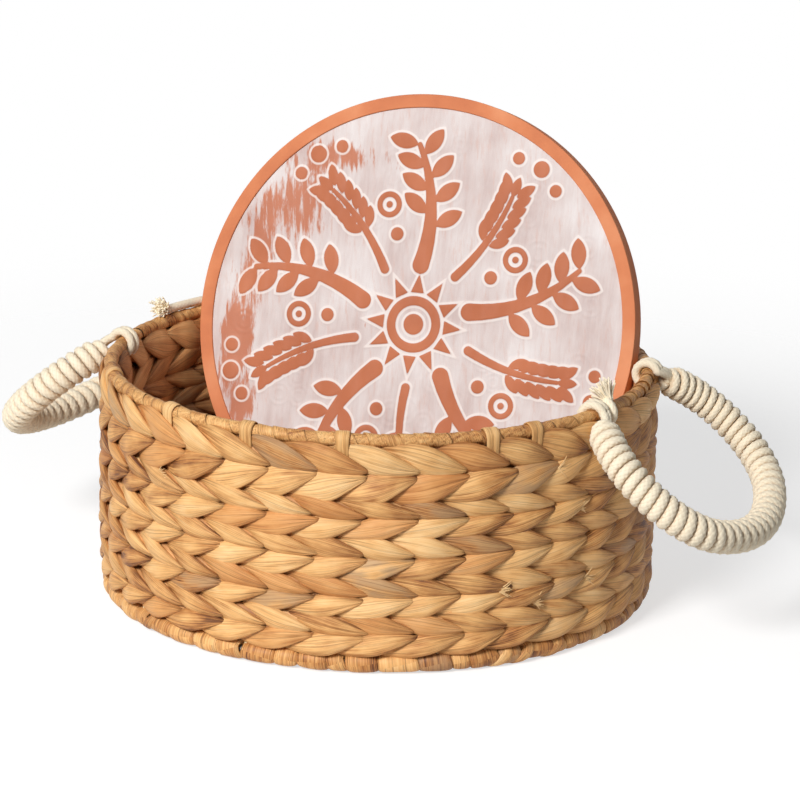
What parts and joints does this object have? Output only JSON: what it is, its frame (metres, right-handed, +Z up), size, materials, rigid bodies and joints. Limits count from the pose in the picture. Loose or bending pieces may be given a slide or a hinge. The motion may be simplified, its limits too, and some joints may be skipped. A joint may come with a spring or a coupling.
{
  "type": "bread warmer basket",
  "caption": "Round low basket twined from plant strands on a wire frame, with two drooping rope handles and a round clay warming plate that stands inside and lifts out.",
  "frame": {"origin": "centre of the basket, on the surface it stands on", "axes": "+Z up, -Y towards the front that the plate faces, +X towards the right handle"},
  "size_m": [0.3984, 0.266, 0.2242],
  "materials": {
    "weave": "satin",
    "strip": "satin",
    "weave_inside": "matte",
    "wire": "satin",
    "stake": "satin",
    "rope": "matte",
    "clay": "matte"
  },
  "bodies": {
    "basket": {"rim_hoop": "wire", "rim_wrap": "strip", "rim_lashes": "strip", "base_hoop": "wire", "base_border": "strip", "base_spokes": "wire", "base_weave": "weave_inside", "twined_row_1": "weave", "twined_row_2": "weave", "twined_row_3": "weave", "twined_row_4": "weave", "twined_row_5": "weave", "twined_row_6": "weave", "twined_row_7": "weave", "twined_row_8": "weave", "twined_row_9": "weave", "twined_row_10": "weave", "stake_1": "stake", "stake_2": "stake", "stake_3": "stake", "stake_4": "stake", "stake_5": "stake", "stake_6": "stake", "stake_7": "stake", "stake_8": "stake", "stake_9": "stake", "stake_10": "stake", "stake_11": "stake", "stake_12": "stake", "stake_13": "stake", "stake_14": "stake", "stake_15": "stake", "stake_16": "stake", "stake_17": "stake", "stake_18": "stake", "stake_19": "stake", "stake_20": "stake", "stake_21": "stake", "stake_22": "stake", "stake_23": "stake", "stake_24": "stake", "stake_25": "stake", "stake_26": "stake", "stake_27": "stake", "stake_28": "stake", "stake_29": "stake", "stake_30": "stake", "stake_31": "stake", "stake_32": "stake", "stake_33": "stake", "stake_34": "stake", "stake_35": "stake", "stake_36": "stake", "rope_end_right": "rope", "rope_end_left": "rope"},
    "plate": {"plate": "clay"},
    "handle_right": {"handle_rope_right": "rope", "handle_whipping_right": "rope"},
    "handle_left": {"handle_rope_left": "rope", "handle_whipping_left": "rope"}
  },
  "joints": [
    {"name": "handle_right_swing", "type": "hinge", "parent": "basket", "child": "handle_right", "pos_m": [0.12066, 0.01056, 0.109], "axis": [0.0872, -0.9962, 0], "range_deg": [0, 129.5]},
    {"name": "handle_left_swing", "type": "hinge", "parent": "basket", "child": "handle_left", "pos_m": [-0.12066, 0.01056, 0.109], "axis": [0.0872, 0.9962, 0], "range_deg": [0, 129.5]},
    {"name": "plate_lift", "type": "slide", "parent": "basket", "child": "plate", "axis": [-0.029, 0.2909, 0.9563], "range_m": [0, 0.15]}
  ]
}
